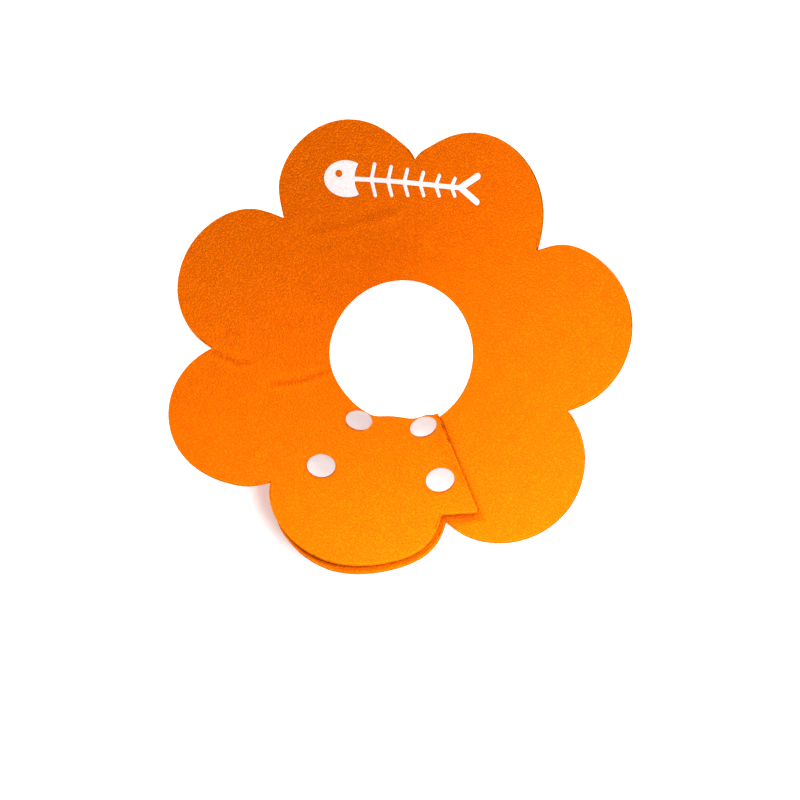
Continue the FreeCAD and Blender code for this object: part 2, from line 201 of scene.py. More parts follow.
# creases: depth, half width, and the spots that the line passes through
CREASES = (
    (0.75 * MM, 1.7 * MM, ((5.52, 55.6 * MM), (5.57, 47.6 * MM), (5.617, 42.3 * MM), (5.605, 35.0 * MM))),
    (0.95 * MM, 2.0 * MM, ((5.757, 0.0), (5.802, 7.7 * MM), (5.84, 15.0 * MM), (5.835, 24.1 * MM),
                           (5.817, 31.0 * MM))),
    (0.45 * MM, 1.5 * MM, ((5.674, 0.0), (5.608, 7.0 * MM))),
    (0.30 * MM, 1.5 * MM, ((5.414, 49.8 * MM), (5.379, 46.4 * MM), (5.406, 41.6 * MM))),
    (0.25 * MM, 2.4 * MM, ((4.45, 38.0 * MM), (4.1, 31.0 * MM), (3.8, 32.0 * MM), (3.55, 35.0 * MM))),
    (-0.12 * MM, 2.0 * MM, ((3.52, 3.0 * MM), (3.5, 30.0 * MM), (3.5, 50.0 * MM))),
)


def crease_fade(along):
    """Share of a crease's depth, which grows from both its ends."""
    return smooth(np.minimum(along, 1.0 - along) * 5.0 + 0.25)


def relief(flat):
    """How far the felt stands off its ideal surface: slow waves, and creases with raised banks."""
    height = ripples(flat, SLOW_WAVES)
    for depth, width, spots in CREASES:
        gap, along = distance_to_line(flat, *spots)
        fade = crease_fade(along)
        height -= depth * fade * np.exp(-(gap / width) ** 2)
        height += 0.5 * depth * fade * np.exp(-((gap - 1.9 * width) / width) ** 2)
    return height


def crease_shade_mark(flat):
    """Painted shade along the creases, for the material: 1 in the middle of a deep crease, 0 away from
    them, below 0 on their raised banks, where it paints a highlight.
    """
    mark = np.zeros(flat.shape[:-1])
    for depth, width, spots in CREASES:
        gap, along = distance_to_line(flat, *spots)
        mark += depth / MM * crease_fade(along) * (np.exp(-(gap / (0.6 * width)) ** 2)
                                                   - 0.35 * np.exp(-((gap - 1.7 * width) / width) ** 2))
    return mark


def clumps(flat):
    """Small clumps of the pile."""
    return ripples(flat, CLUMPS)


def snap_spots():
    """Name, petal and reach of the four snaps, on the upper layer."""
    for side, petal in (("left", SNAP_LEFT), ("right", SNAP_RIGHT)):
        for ring, reach in (("neck", SNAP_REACH_NECK), ("rim", SNAP_REACH_RIM)):
            yield ring + "_" + side, petal, reach


CAP_SINK = 0.45 * MM
RECESS_DEPTH = 0.55 * MM
RECESS_WALL = 0.9 * MM
RECESS_RADIUS = CAP_RADIUS + 0.45 * MM


def cap_recess(flat, petal_shift):
    """How deep the felt is pressed in at the snap caps of one layer."""
    depth = np.zeros(flat.shape[:-1])
    for _, petal, reach in snap_spots():
        centre = to_flat(np.array(petal + petal_shift), np.array(reach))
        gap = np.linalg.norm(flat - centre, axis=-1)
        pressed = smooth((RECESS_RADIUS + RECESS_WALL - gap) / RECESS_WALL)
        depth = np.maximum(depth, RECESS_DEPTH * pressed)
    return depth


HOLD_RADIUS = 11.0 * MM
HOLD_FADE = 4.8 * MM


def snap_hold(flat):
    """1 where a snap holds the two layers apart, 0 well away from it."""
    hold = np.zeros(flat.shape[:-1])
    for _, petal, reach in snap_spots():
        centre = to_flat(np.array(petal), np.array(reach))
        gap = np.linalg.norm(flat - centre, axis=-1)
        hold = np.maximum(hold, smooth((HOLD_RADIUS - gap) / HOLD_FADE))
    return hold


# ---------------------------------------------------------------- building a felt sheet
ARC_STEPS = 96
ROWS = 84
TAB_STEPS = 26
EDGE_INSET = 0.45 * MM
EDGE_LAYERS = 8
EDGE_SQUARENESS = 0.5
FUZZ_DEPTH, FUZZ_LENGTH, FUZZ_SHIFT, FUZZ_SEED = 0.03 * MM, 1.5 * MM, 0.37 * MM, 2.0


def petal_rim(petal):
    """Rim points of one rounded petal, evenly spaced along its arc, from notch to notch."""
    half = PETAL_TURN / 2.0
    across = PETAL_CIRCLE * math.sin(half)
    notch = PETAL_CIRCLE * math.cos(half) + math.sqrt(PETAL_RADIUS ** 2 - across ** 2)
    widest = math.atan2(notch * math.sin(half), notch * math.cos(half) - PETAL_CIRCLE)
    arc = np.linspace(-widest, widest, ARC_STEPS + 1)
    x, y = PETAL_RADIUS * np.sin(arc), PETAL_CIRCLE + PETAL_RADIUS * np.cos(arc)
    turn, radius = np.arctan2(x, y) + petal * PETAL_TURN, np.hypot(x, y)
    return np.stack([radius * np.sin(turn), radius * np.cos(turn)], axis=-1)


def round_corner(grid, corner, side_a, side_b, radius):
    """Rounds the grid's corner. side_a and side_b are points further along its two edges."""
    a = (side_a - corner) / np.linalg.norm(side_a - corner)
    b = (side_b - corner) / np.linalg.norm(side_b - corner)
    offset = grid - corner
    inverse = np.linalg.inv(np.stack([a, b], axis=-1))
    inside = radius - offset @ inverse.T
    largest, length = inside.max(axis=-1), np.linalg.norm(inside, axis=-1)
    near = (inside[..., 0] > 0.0) & (inside[..., 1] > 0.0)
    scale = np.where(near, largest / np.maximum(length, 1e-9), 1.0)
    moved = corner + (radius - inside * scale[..., None]) @ np.stack([a, b], axis=0)
    return np.where(near[..., None], moved, grid)


def sheet_grid(petals, notch, end_neck, end_rim, end_reach):
    """Flat points of a sheet, column by column from the seam, row by row from the neck to the rim."""
    rims = []
    for petal in petals:
        rim = petal_rim(petal)
        if petals[0] > petals[-1]:
            rim = rim[::-1]
        rims.append(rim if not rims else rim[1:])
    rim = np.concatenate(rims)
    turn = np.arctan2(rim[:, 0], rim[:, 1])
    neck = NECK_FLAT * np.stack([np.sin(turn), np.cos(turn)], axis=-1)
    share = np.linspace(0.0, 1.0, TAB_STEPS + 1)[1:]
    corner = to_flat(np.array(end_rim), np.array(end_reach))
    end_columns = rim[-1] + (corner - rim[-1]) * share[:, None]
    end_petals = notch + (end_neck - notch) * share
    neck = np.concatenate([neck, to_flat(end_petals, np.zeros_like(end_petals))])
    rim = np.concatenate([rim, end_columns])
    rows = np.linspace(0.0, 1.0, ROWS + 1)
    return neck[:, None] + (rim - neck)[:, None] * rows[None, :, None]


def nudged(grid, spots):
    """Moves the blank's outline locally: each spot is (petal, reach, outward, sideways, half width)."""
    moved = grid.copy()
    for petal, reach, outward, sideways, half_width in spots:
        centre = to_flat(np.array(petal), np.array(reach))
        way = to_flat(np.array(petal), np.array(0.0)) / NECK_FLAT
        shift = outward * way + sideways * np.array((way[1], -way[0]))
        share = np.exp(-(np.linalg.norm(grid - centre, axis=-1) / half_width) ** 2)
        moved += share[..., None] * shift
    return moved


def add_values(mesh, attribute, values):
    """Gives every vertex a number, or a vector where values has rows of three, for the material."""
    values = np.array(values, dtype=np.float32)
    kind, key = ("FLOAT_VECTOR", "vector") if values.ndim == 2 else ("FLOAT", "value")
    mesh.attributes.new(attribute, kind, "POINT").data.foreach_set(key, values.ravel())


def edge_chain(columns, rows):
    """Grid places along the free edge: the neck, the cut end and back along the rim."""
    chain = [(column, 0) for column in range(columns)]
    chain += [(columns - 1, row) for row in range(1, rows)]
    chain += [(column, rows - 1) for column in range(columns - 2, -1, -1)]
    return np.array(chain)


def build_sheet(name, grid, level, mirrored):
    """Closed felt sheet from flat grid points. level(flat, petal, side) gives both faces' heights."""
    columns, rows = grid.shape[:2]
    chain = edge_chain(columns, rows)
    line = grid[chain[:, 0], chain[:, 1]]
    tangent = np.empty_like(line)
    tangent[1:-1] = line[2:] - line[:-2]
    tangent[0], tangent[-1] = line[1] - line[0], line[-1] - line[-2]
    outward = np.stack([tangent[:, 1], -tangent[:, 0]], axis=-1) * (-1.0 if mirrored else 1.0)
    outward /= np.linalg.norm(outward, axis=1)[:, None]
    seam_way = to_flat(np.array(SEAM), np.array(0.0)) / NECK_FLAT
    outward[0], outward[-1] = -seam_way, seam_way
    line = line + outward * ripples(line, FRAYED_EDGE)[:, None]

    places, levels, cut, crease_shades = [], [], [], []

    def add(flat, side, cut_share):
        first = len(places)
        petal, reach = from_flat(flat)
        height = level(flat, petal, side)
        places.extend(np.concatenate([flat, np.reshape(height, (-1, 1))], axis=1))
        spots = felt_point(petal, reach, height)
        spots[:, 2] = np.maximum(spots[:, 2], 0.0)
        levels.extend(spots)
        cut.extend([cut_share] * len(flat))
        crease_shades.extend(crease_shade_mark(flat))
        return first + np.arange(len(flat))

    index = {}
    for side in (1.0, 0.0):
        flat = grid.copy()
        flat[chain[:, 0], chain[:, 1]] = line - outward * EDGE_INSET
        index[side] = add(flat.reshape(-1, 2), side, 0.0).reshape(columns, rows)
    rings = [index[1.0][chain[:, 0], chain[:, 1]]]
    for layer in range(1, EDGE_LAYERS):
        angle = math.pi * layer / EDGE_LAYERS
        inset = EDGE_INSET * (1.0 - math.sin(angle) ** EDGE_SQUARENESS)
        side = 0.5 + 0.5 * math.copysign(abs(math.cos(angle)) ** EDGE_SQUARENESS, math.cos(angle))
        fuzz = FUZZ_DEPTH * ripple(line + layer * FUZZ_SHIFT, FUZZ_LENGTH, FUZZ_SEED + layer)
        fuzz[[0, -1]] = 0.0
        rings.append(add(line - outward * (inset + fuzz)[:, None], side, 1.0))
    rings.append(index[0.0][chain[:, 0], chain[:, 1]])

    faces = []

    def quads(a, b, c, d):
        block = np.stack([a.ravel(), b.ravel(), c.ravel(), d.ravel()], axis=1)
        faces.extend((block[:, ::-1] if mirrored else block).tolist())

    top, bottom = index[1.0], index[0.0]
    quads(top[:-1, :-1], top[:-1, 1:], top[1:, 1:], top[1:, :-1])
    quads(bottom[:-1, :-1], bottom[1:, :-1], bottom[1:, 1:], bottom[:-1, 1:])
    for upper, lower in zip(rings[:-1], rings[1:]):
        quads(upper[:-1], upper[1:], lower[1:], lower[:-1])
    seam_faces = len(faces)
    quads(top[0, 1:], top[0, :-1], bottom[0, :-1], bottom[0, 1:])
    neck_end = [int(ring[0]) for ring in rings]
    rim_end = [int(ring[-1]) for ring in rings][::-1]
    faces += [neck_end[::-1] if mirrored else neck_end, rim_end[::-1] if mirrored else rim_end]

    mesh = bpy.data.meshes.new(name)
    mesh.from_pydata(np.array(levels).tolist(), [], faces)
    mesh.update()
    add_values(mesh, "place", places)
    # the cut edge, where the material paints a highlight
    add_values(mesh, "cut", cut)
    # painted shade for the creases and a painted highlight for their banks, carried to the material
    add_values(mesh, "crease", crease_shades)
    flat_faces = set(range(seam_faces, len(faces)))
    for polygon in mesh.polygons:
        polygon.use_smooth = polygon.index not in flat_faces
    seam_edges = {key for face in flat_faces for key in mesh.polygons[face].edge_keys}
    for edge in mesh.edges:
        edge.use_edge_sharp = edge.key in seam_edges
    piece = bpy.data.objects.new(name, mesh)
    collection.objects.link(piece)
    return piece


# how far the tab's free end sinks towards the lower layer, and how much less it does so near the rim
DROOP, DROOP_LESS, DROOP_LESS_OVER = 2.3 * MM, 1.5 * MM, 14.0 * MM
DROOP_START, DROOP_FADE = 7.6, 0.15
# share of the relief that is pressed out where the layers overlap, and where that ends on the lower one
SETTLE = 0.75
SETTLE_END, SETTLE_FADE = 1.1, 0.5


def flap_level(flat, petal, side):
    """The upper piece: it climbs over the lower end, and droops onto it past the snaps."""
    reach = np.linalg.norm(flat, axis=-1) - NECK_FLAT
    droop = DROOP - DROOP_LESS * smooth((reach - SNAP_REACH_RIM) / DROOP_LESS_OVER)
    end_droop = smooth((petal - DROOP_START) / DROOP_FADE)
    height = UPPER_LEVEL * climb(petal) - droop * end_droop * (1.0 - snap_hold(flat))
    height = height + relief(flat) * (1.0 - SETTLE * climb(petal))
    if side == 1.0:
        height = height + clumps(flat) - cap_recess(flat, 0.0)
    return height + side * THICKNESS


def lower_level(flat, petal, side):
    """The lower piece: flat against the upper one where they overlap."""
    settle = smooth((SETTLE_END - petal) / SETTLE_FADE)
    height = relief(flat) * (1.0 - SETTLE * settle)
    if side == 1.0:
        height = height + clumps(flat)
    if side == 0.0:
        height = height + cap_recess(flat, -PETALS_ROUND)
    return height + side * THICKNESS


# local corrections of the blank's outline: (petal, reach, outward, sideways, half width)
BACK_NUDGES = (
    (3.5, 55.0 * MM, 3.8 * MM, 0.0, 10.5 * MM),
    (2.5, 55.0 * MM, -2.4 * MM, -1.6 * MM, 9.0 * MM),
    (4.5, 55.0 * MM, -3.4 * MM, 0.0, 9.0 * MM))
LEFT_NUDGES = BACK_NUDGES + (
    (7.0, PETAL_DEPTH, TIP_LOSS - 1.0 * MM, 0.0, 16.0 * MM),
    (6.5, 55.0 * MM, 3.1 * MM, -1.8 * MM, 16.0 * MM),
    (6.68, 68.0 * MM, 0.8 * MM, -1.0 * MM, 14.0 * MM),
    (7.4, 68.0 * MM, 1.3 * MM, 1.1 * MM, 15.0 * MM),
    (7.3, 0.0, -0.9 * MM, 0.0, 6.0 * MM))
RIGHT_NUDGES = BACK_NUDGES + (
    (0.0, PETAL_DEPTH, TIP_LOSS + 0.3 * MM, 0.0, 22.0 * MM),
    (0.42, 66.0 * MM, 1.6 * MM, 1.8 * MM, 18.0 * MM),
    (-0.38, 68.0 * MM, 1.0 * MM, -1.2 * MM, 12.0 * MM),
    (2.0, PETAL_DEPTH, 0.9 * MM, 0.0, 22.0 * MM))

TAB_RIM_ROUND, TAB_NECK_ROUND = 1.6 * MM, 1.2 * MM
left_grid = nudged(sheet_grid((4, 5, 6, 7), 7.5, TAB_END_NECK, TAB_END_RIM, TAB_REACH), LEFT_NUDGES)
left_grid = round_corner(left_grid, left_grid[-1, -1], left_grid[-2, -1], left_grid[-1, -2], TAB_RIM_ROUND)
left_grid = round_corner(left_grid, left_grid[-1, 0], left_grid[-2, 0], left_grid[-1, 1], TAB_NECK_ROUND)
felt_left = build_sheet("felt_left", left_grid, flap_level, False)

right_grid = sheet_grid((3, 2, 1, 0), -0.5, MARGIN_END_NECK, MARGIN_END_RIM, MARGIN_REACH)
right_grid = nudged(right_grid, RIGHT_NUDGES)
felt_right = build_sheet("felt_right", right_grid, lower_level, True)


# ---------------------------------------------------------------- the snap caps
def turned(name, profile, segments=72):
    """Closed turned solid from (radius, height) corners, the first and the last on the axis."""
    vertices, faces = [(0.0, 0.0, profile[0][1])], []
    for radius, height in profile[1:-1]:
        vertices += [(radius * math.cos(turn), radius * math.sin(turn), height)
                     for turn in np.linspace(0.0, 2.0 * math.pi, segments, endpoint=False)]
    vertices.append((0.0, 0.0, profile[-1][1]))
    last, rings = len(vertices) - 1, len(profile) - 2
    for step in range(segments):
        follow = (step + 1) % segments
        faces.append((0, 1 + step, 1 + follow))
        for ring in range(rings - 1):
            low, high = 1 + ring * segments, 1 + (ring + 1) * segments
            faces.append((low + step, high + step, high + follow, low + follow))
        tail = 1 + (rings - 1) * segments
        faces.append((tail + step, last, tail + follow))
    mesh = bpy.data.meshes.new(name)
    mesh.from_pydata(vertices, [], faces)
    mesh.update()
    piece = bpy.data.objects.new(name, mesh)
    collection.objects.link(piece)
    for polygon in mesh.polygons:
        polygon.use_smooth = True
    mesh.set_sharp_from_angle(angle=math.radians(40.0))
    return piece


# heights of the head's rim and crown over its seat, and the rounding of its rim
CAP_RIM, CAP_CROWN, CAP_ROLL = 0.45 * MM, 1.25 * MM, 0.2 * MM
CAP_CROWN_CURVE, CAP_CROWN_STEPS = 2.4, 15
CAP_ROLL_TURNS = (20.0, 45.0, 70.0, 90.0)
CAP_EDGE = 0.05 * MM
# the post through the felt, and its pressed end inside the socket or on the stud
POST_RADIUS, RIVET_HEIGHT = 1.2 * MM, 0.4 * MM
UPPER_RIVET, LOWER_RIVET = 1.9 * MM, 1.45 * MM
LOWER_SINK = 0.65 * MM
SEAT_GAP, SOCKET_FLOOR = 0.15 * MM, 0.6 * MM
STUD_SEAT, STUD_PLATE = 0.25 * MM, 0.8 * MM


def cap_profile(base, out, plate, rivet):
    """A satin cap: domed head with a rolled rim, post and pressed end. out is +1 or -1 along the axis."""
    profile = []
    for share in np.linspace(0.0, 1.0, CAP_CROWN_STEPS):
        radius = (CAP_RADIUS - CAP_ROLL) * share
        dome = (CAP_CROWN - CAP_RIM) * (1.0 - share ** CAP_CROWN_CURVE)
        profile.append((radius, base + out * (CAP_RIM + dome)))
    for turn in np.radians(CAP_ROLL_TURNS):
        profile.append((CAP_RADIUS - CAP_ROLL * (1.0 - math.sin(turn)),
                        base + out * (CAP_RIM - CAP_ROLL * (1.0 - math.cos(turn)))))
    profile.append((CAP_RADIUS - CAP_EDGE, base + out * CAP_EDGE))
    end = plate - out * RIVET_HEIGHT
    profile += [(CAP_RADIUS - CAP_ROLL, base), (POST_RADIUS, base), (POST_RADIUS, plate), (rivet, plate),
                (rivet, end), (0.0, end)]
    return profile if out > 0 else profile[::-1]


def add_caps():
    caps = []
    flap_top = UPPER_LEVEL + THICKNESS
    socket_inside = UPPER_LEVEL - SEAT_GAP - SOCKET_FLOOR
    stud_top = THICKNESS + STUD_SEAT + STUD_PLATE
    for name, petal, reach in snap_spots():
        low = petal - PETALS_ROUND
        foot = Vector(felt_point(np.array(low), np.array(reach), np.array(0.0)))
        normal = Vector(felt_normal(low, reach))
        stand = Matrix.Translation(foot) @ normal.to_track_quat("Z", "Y").to_matrix().to_4x4()
        profile = cap_profile(flap_top - CAP_SINK, 1.0, socket_inside, UPPER_RIVET)
        upper = turned("cap_upper_" + name, profile)
        lower = turned("cap_lower_" + name, cap_profile(LOWER_SINK, -1.0, stud_top, LOWER_RIVET))
        for cap, body, node in ((upper, "upper_end", "upper_cap_" + name),
                                (lower, "lower_end", "lower_cap_" + name)):
            cap.data.transform(stand)
            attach(cap, body)
            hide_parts(node)
            caps.append(cap)
    return caps


# ---------------------------------------------------------------- the printed fish bone
def segment_distance(points, start, end):
    start, end = np.array(start), np.array(end)
    along = end - start
    share = np.clip(((points - start) @ along) / (along @ along), 0.0, 1.0)
    return np.linalg.norm(points - start - share[..., None] * along, axis=-1)


RIBS = 6
# half widths of the strokes, as shares of the motif's height
SPINE_HALF, RIB_HALF, LOBE_HALF = 0.062, 0.052, 0.085


def fish_bone(points):
    """Signed distance to the motif's outline, below zero inside. Its head is to the left.

    Places along the spine are shares of the motif's length, and places across it shares of its height.
    """
    length, height = MOTIF_LENGTH, MOTIF_HEIGHT
    left = -length / 2.0
    x, y = points[..., 0], points[..., 1]
    nose = left + 0.135 * length
    head = np.hypot((x - nose) / (0.135 * length), y / (0.5 * height)) - 1.0
    head = head * 0.4 * height
    gill = 0.16 * length - np.hypot(x - (left + 0.345 * length), y)
    head = np.maximum(head, gill)
    eye = 0.1 * height - np.hypot(x - (left + 0.09 * length), y - 0.14 * height)
    shape = np.maximum(head, eye)
    spine = segment_distance(points, (left + 0.18 * length, 0.0), (-left - 0.12 * length, 0.0))
    shape = np.minimum(shape, spine - SPINE_HALF * height)
    for rib in range(RIBS):
        share = rib / (RIBS - 1.0)
        foot = left + (0.29 + 0.52 * share) * length
        half = (0.42 - 0.20 * share) * height
        for side in (-1.0, 1.0):
            bone = segment_distance(points, (foot, 0.0), (foot + 0.022 * length, side * half))
            shape = np.minimum(shape, bone - RIB_HALF * height)
    fork = -left - 0.13 * length
    for side in (-1.0, 1.0):
        lobe = segment_distance(points, (fork, 0.0), (-left - 0.02 * length, side * 0.33 * height))
        shape = np.minimum(shape, lobe - LOBE_HALF * height)
    return shape


# cell size, how deep the film's underside lies, and the least field at a cell corner, in cells
MOTIF_CELL, MOTIF_ROOT, MOTIF_CLEAR = 0.4 * MM, 0.15 * MM, 0.02
MOTIF_SPARE_CELLS = 8


def add_motif():
    """A thin film over the felt, cut along the fish bone's outline cell by cell."""
    cell = MOTIF_CELL
    across = int(MOTIF_LENGTH / cell) + MOTIF_SPARE_CELLS
    high = int(MOTIF_HEIGHT / cell) + MOTIF_SPARE_CELLS
    xs, ys = (np.arange(across) - across / 2.0) * cell, (np.arange(high) - high / 2.0) * cell
    corners = np.stack(np.meshgrid(xs, ys, indexing="ij"), axis=-1)
    field = fish_bone(corners)
    field = np.where(np.abs(field) < MOTIF_CLEAR * cell, -MOTIF_CLEAR * cell, field)
    points, found, polygons = [], {}, []

    def vertex(key, place):
        if key not in found:
            found[key] = len(points)
            points.append(place)
        return found[key]

    for column in range(across - 1):
        for row in range(high - 1):
            loop = [(column, row), (column + 1, row), (column + 1, row + 1), (column, row + 1)]
            if min(field[spot] for spot in loop) > 0.0:
                continue
            polygon = []
            for here, there in zip(loop, loop[1:] + loop[:1]):
                if field[here] < 0.0:
                    polygon.append(vertex(here, corners[here]))
                if (field[here] < 0.0) != (field[there] < 0.0):
                    share = field[here] / (field[here] - field[there])
                    place = corners[here] + share * (corners[there] - corners[here])
                    polygon.append(vertex((min(here, there), max(here, there)), place))
            if len(polygon) > 2:
                polygons.append(polygon)
    turn = MOTIF_PETAL * PETAL_TURN
    outward = np.array((math.sin(turn), math.cos(turn)))
    sideways = np.array((-math.cos(turn), math.sin(turn)))
    local = np.array(points)
    flat = outward * (NECK_FLAT + MOTIF_REACH + local[:, 1:]) + sideways * local[:, :1]
    petal, reach = from_flat(flat)
    ground = relief(flat) + clumps(flat) + THICKNESS
    top = felt_point(petal, reach, ground + MOTIF_FILM)
    bottom = felt_point(petal, reach, ground - MOTIF_ROOT)
    count = len(points)
    sides = {side: None for polygon in polygons for side in zip(polygon, polygon[1:] + polygon[:1])}
    rim = [(here, there) for here, there in sides if (there, here) not in sides]
    faces = [list(polygon) for polygon in polygons]
    faces += [[index + count for index in polygon[::-1]] for polygon in polygons]
    faces += [[there, here, here + count, there + count] for here, there in rim]
    mesh = bpy.data.meshes.new("fish_bone_print")
    mesh.from_pydata(np.concatenate([top, bottom]).tolist(), [], faces)
    mesh.update()
    places = np.concatenate([np.column_stack([flat, ground])] * 2)
    add_values(mesh, "place", places)
    for polygon in mesh.polygons:
        polygon.use_smooth = polygon.index < 2 * len(polygons)
    mesh.set_sharp_from_angle(angle=math.radians(50.0))
    piece = bpy.data.objects.new("fish_bone_print", mesh)
    collection.objects.link(piece)
    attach(piece, "collar")
    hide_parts("printed_motif")
    return piece


caps = add_caps()
motif = add_motif()


# ---------------------------------------------------------------- materials
# sockets of the mix node that take and give colours: factor, A and B, then the result
MIX_INPUTS, MIX_OUTPUT = (0, 6, 7), 2


class Nodes:
    """Shorthand for a material's node tree."""

    def __init__(self, name):
        self.material = bpy.data.materials.new(name)
        self.material.use_nodes = True
        self.tree = self.material.node_tree
        self.shader = self.tree.nodes["Principled BSDF"]

    def add(self, kind, inputs=None, **settings):
        node = self.tree.nodes.new(kind)
        for key, value in settings.items():
            setattr(node, key, value)
        for key, value in (inputs or {}).items():
            self.put(node.inputs[key], value)
        return node

    def put(self, socket, value):
        if isinstance(value, bpy.types.NodeSocket):
            self.tree.links.new(value, socket)
        else:
            socket.default_value = value

    def set(self, **inputs):
        for key, value in inputs.items():
            self.put(self.shader.inputs[key.replace("_", " ")], value)

    def noise(self, vector, scale, detail=3.0, roughness=0.55, distortion=0.0):
        node = self.add("ShaderNodeTexNoise", {"Vector": vector, "Scale": scale, "Detail": detail,
                                               "Roughness": roughness, "Distortion": distortion})
        return node.outputs["Fac"]

    def math(self, operation, *values):
        node = self.add("ShaderNodeMath", dict(enumerate(values)), operation=operation)
        return node.outputs[0]

    def span(self, value, low, high, to_low=0.0, to_high=1.0):
        node = self.add("ShaderNodeMapRange", {"Value": value, "From Min": low, "From Max": high,
                                               "To Min": to_low, "To Max": to_high})
        return node.outputs["Result"]

    def mix(self, share, a, b):
        node = self.add("ShaderNodeMix", data_type="RGBA")
        for socket, value in zip(MIX_INPUTS, (share, a, b)):
            self.put(node.inputs[socket], value)
        return node.outputs[MIX_OUTPUT]

    def bump(self, height, distance, strength=1.0):
        node = self.add("ShaderNodeBump", {"Height": height, "Distance": distance, "Strength": strength})
        return node.outputs["Normal"]


FELT_DEEP = (0.48, 0.068, 0.001, 1.0)
FELT_MIDDLE = (0.66, 0.116, 0.001, 1.0)
FELT_LIGHT = (0.78, 0.152, 0.0015, 1.0)
# painted highlight for the cut edges
FELT_CUT_HIGHLIGHT = (0.85, 0.20, 0.002, 1.0)
# painted shade, a deep red, for gaps, creases and the space between the layers
FELT_GAP_SHADE = (0.30, 0.008, 0.001, 1.0)
FELT_SHEEN = (1.0, 0.35, 0.0, 1.0)
CAP_WHITE = (0.315, 0.268, 0.262, 1.0)
SNAP_WHITE = (0.45, 0.42, 0.42, 1.0)
PRINT_GREY, PRINT_WHITE = (0.56, 0.53, 0.53, 1.0), (0.66, 0.64, 0.64, 1.0)
PRINT_WORN = (0.9, 0.30, 0.08, 1.0)
FLOOR_WHITE, PURE_WHITE = (0.96, 0.96, 0.96, 1.0), (1.0, 1.0, 1.0, 1.0)
SKY_WHITE = (1.0, 0.99, 0.98, 1.0)


def felt_material():
    """Short matted pile: pebbled and mottled, with painted shade in creases and in the hollows and gaps
    that ambient occlusion finds, and a painted highlight on the creases' banks and on the cut edge.
    """
    nodes = Nodes("orange_felt")
    place = nodes.add("ShaderNodeAttribute", attribute_name="place").outputs["Vector"]
    cut = nodes.add("ShaderNodeAttribute", attribute_name="cut").outputs["Fac"]
    crease = nodes.add("ShaderNodeAttribute", attribute_name="crease").outputs["Fac"]
    wander = nodes.add("ShaderNodeTexNoise", {"Vector": place, "Scale": 420.0, "Detail": 2.0})
    bent = nodes.add("ShaderNodeVectorMath", {0: wander.outputs["Color"], 1: (1.2 * MM, 1.2 * MM, 0.0)},
                     operation="MULTIPLY")
    bent = nodes.add("ShaderNodeVectorMath", {0: place, 1: bent.outputs[0]}, operation="ADD").outputs[0]
    pebble = nodes.add("ShaderNodeTexVoronoi", {"Vector": bent, "Scale": 1080.0, "Smoothness": 0.2},
                       feature="SMOOTH_F1").outputs["Distance"]
    pebble = nodes.span(pebble, 0.15, 0.65, 1.0, 0.0)
    fibres = nodes.noise(place, scale=1900.0, detail=3.0, roughness=0.7, distortion=0.6)
    mottle = nodes.noise(place, scale=130.0, detail=4.0, roughness=0.6)
    pile = nodes.math("ADD", nodes.math("MULTIPLY", pebble, 0.65), nodes.math("MULTIPLY", fibres, 0.5))
    tone = nodes.math("ADD", nodes.span(pile, 0.25, 0.95), nodes.span(mottle, 0.3, 0.7, -0.1, 0.1))
    # painted shade: the creases are darkened, and their banks are lightened as a painted highlight
    tone = nodes.math("SUBTRACT", tone, nodes.math("MULTIPLY", crease, 0.55))
    colour = nodes.mix(nodes.span(tone, -0.3, 0.5), FELT_DEEP, FELT_MIDDLE)
    colour = nodes.mix(nodes.span(tone, 0.5, 1.1), colour, FELT_LIGHT)
    # painted highlight: the cut edge is lightened towards a yellower orange
    colour = nodes.mix(nodes.math("MULTIPLY", cut, 0.5), colour, FELT_CUT_HIGHLIGHT)
    # painted shade: the colour darkens to a deep red where ambient occlusion within 5 mm finds gaps,
    # creases and the space between the layers
    gap_shade = nodes.add("ShaderNodeAmbientOcclusion", {"Distance": 5.0 * MM}, samples=6).outputs["AO"]
    colour = nodes.mix(nodes.span(gap_shade, 0.2, 0.8), FELT_GAP_SHADE, colour)
    nodes.set(Base_Color=colour, Roughness=0.95, Sheen_Weight=0.12, Sheen_Roughness=0.5,
              Sheen_Tint=FELT_SHEEN, Normal=nodes.bump(pile, distance=0.8 * MM), Specular_IOR_Level=0.0)
    return nodes.material


def plastic_material(name, colour, roughness):
    """Satin moulded plastic, slightly hazy and see-into."""
    nodes = Nodes(name)
    place = nodes.add("ShaderNodeTexCoord").outputs["Object"]
    haze = nodes.noise(place, scale=260.0, detail=2.0)
    grain = nodes.noise(place, scale=2400.0, detail=2.0)
    paler = tuple(min(1.0, 1.05 * part) for part in colour[:3]) + (1.0,)
    nodes.set(Base_Color=nodes.mix(nodes.span(haze, 0.3, 0.7), colour, paler),
              Roughness=nodes.span(haze, 0.3, 0.7, roughness - 0.05, roughness + 0.05),
              Subsurface_Weight=0.12, Subsurface_Scale=0.8 * MM, Subsurface_Radius=(1.0, 0.9, 0.9),
              Normal=nodes.bump(grain, distance=0.01 * MM, strength=0.5))
    return nodes.material


def print_material():
    """White print on felt: curly in tone, worn through to the felt in specks."""
    nodes = Nodes("white_print")
    place = nodes.add("ShaderNodeAttribute", attribute_name="place").outputs["Vector"]
    curls = nodes.noise(place, scale=640.0, detail=3.0, roughness=0.6, distortion=1.2)
    specks = nodes.noise(place, scale=1500.0, detail=3.0, roughness=0.7)
    worn = nodes.span(specks, 0.66, 0.74, to_low=0.0, to_high=0.35)
    colour = nodes.mix(nodes.span(curls, 0.35, 0.65), PRINT_GREY, PRINT_WHITE)
    nodes.set(Base_Color=nodes.mix(worn, colour, PRINT_WORN), Roughness=0.7,
              Normal=nodes.bump(curls, distance=0.25 * MM, strength=0.6))
    return nodes.material


def paint(piece, material):
    piece.data.materials.clear()
    piece.data.materials.append(material)


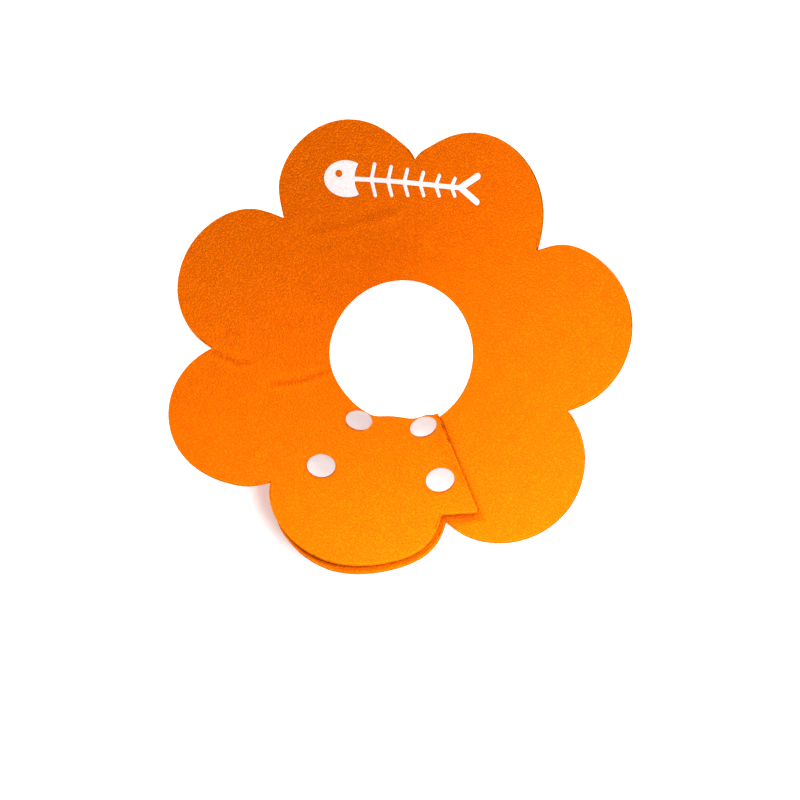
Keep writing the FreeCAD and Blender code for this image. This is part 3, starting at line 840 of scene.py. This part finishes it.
orange_felt = felt_material()
cap_plastic = plastic_material("white_cap", CAP_WHITE, roughness=0.5)
inner_plastic = plastic_material("white_snap", SNAP_WHITE, roughness=0.35)
for piece in (felt_left, felt_right):
    paint(piece, orange_felt)
for piece in caps:
    paint(piece, cap_plastic)
paint(motif, print_material())
for name, node in frame["nodes"].items():
    if name.startswith(("socket_", "stud_")):
        paint(node, inner_plastic)


# ---------------------------------------------------------------- the hinges' lines, and the CAD model's felt hidden
def hinge(name):
    return next(joint for joint in frame["joints"] if joint["name"] == name)


CLOSURE_PLACE = -70.0 * MM


def fold(piece, joint_name):
    """Finds the way across the living hinge's line, towards the closure, and bakes the piece's place into
    its mesh; the felt is not bent.
    """
    joint = hinge(joint_name)
    middle, axis = Vector(joint["pos_m"]), Vector(joint["axis"])
    across = Vector((0.0, 0.0, 1.0)).cross(axis).normalized()
    inside = Vector((0.0, CLOSURE_PLACE, middle.z)) - middle
    if across.dot(inside) < 0.0:
        across.negate()
    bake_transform(piece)


def flat_area(grid):
    """Area of the flat blank inside a grid's edge."""
    chain = edge_chain(*grid.shape[:2])
    line = grid[chain[:, 0], chain[:, 1]]
    x, y = line[:, 0], line[:, 1]
    return abs(np.sum(x * np.roll(y, -1) - np.roll(x, -1) * y)) / 2.0


fold(felt_left, "upper_end_lift")
fold(felt_right, "lower_end_fold")
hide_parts("felt_ring", "felt_flap")
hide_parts("felt_ring", "felt_under_petal")
upper_rests = ["felt_right", "socket_rim_left", "socket_rim_right"]
for piece, grid, rests_on in ((felt_left, left_grid, upper_rests), (felt_right, right_grid, [])):
    flat_area(grid)

# ---------------------------------------------------------------- floor, light and camera
FLOOR_HALF = 2.0
floor_mesh = bpy.data.meshes.new("floor")
floor_mesh.from_pydata([(-FLOOR_HALF, -FLOOR_HALF, 0), (FLOOR_HALF, -FLOOR_HALF, 0),
                        (FLOOR_HALF, FLOOR_HALF, 0), (-FLOOR_HALF, FLOOR_HALF, 0)], [], [(0, 1, 2, 3)])
floor = bpy.data.objects.new("floor", floor_mesh)
collection.objects.link(floor)
floor_nodes = Nodes("pale_floor")
floor_nodes.set(Base_Color=FLOOR_WHITE, Roughness=0.8, Emission_Color=PURE_WHITE, Emission_Strength=0.4)
paint(floor, floor_nodes.material)

world = bpy.data.worlds.new("studio")
bpy.context.scene.world = world
world.use_nodes = True
sky = world.node_tree.nodes["Background"]
sky.inputs["Color"].default_value = SKY_WHITE
sky.inputs["Strength"].default_value = 0.195


def area_light(name, place, target, width, watts):
    """A round lamp at place, turned to target."""
    light = bpy.data.lights.new(name, "AREA")
    light.shape, light.size, light.energy = "DISK", width, watts
    lamp = bpy.data.objects.new(name, light)
    lamp.location = place
    lamp.rotation_euler = (Vector(target) - Vector(place)).to_track_quat("-Z", "Y").to_euler()
    lamp.visible_camera = False
    collection.objects.link(lamp)


area_light("key", place=(-0.88, 0.62, 0.92), target=(0.0, 0.0, 0.02), width=0.6, watts=32.5)
area_light("near", place=(0.08, -0.10, 0.19), target=(0.08, -0.10, 0.0), width=0.10, watts=0.91)

camera_data = bpy.data.cameras.new("camera")
camera_data.sensor_width = 36.0
camera_data.lens = 42.05
camera = bpy.data.objects.new("camera", camera_data)
right = Vector((0.97151, 0.19562, -0.13383)).normalized()
back = Vector((0.18359, -0.26395, 0.9469)).normalized()
up = back.cross(right).normalized()
camera_place = Vector((84.54, -138.25, 414.5)) * MM
camera_turn = Matrix((right, up, back)).transposed().to_4x4()
camera.matrix_world = Matrix.Translation(camera_place) @ camera_turn
collection.objects.link(camera)
bpy.context.scene.camera = camera
bpy.context.scene.view_settings.view_transform = "Standard"

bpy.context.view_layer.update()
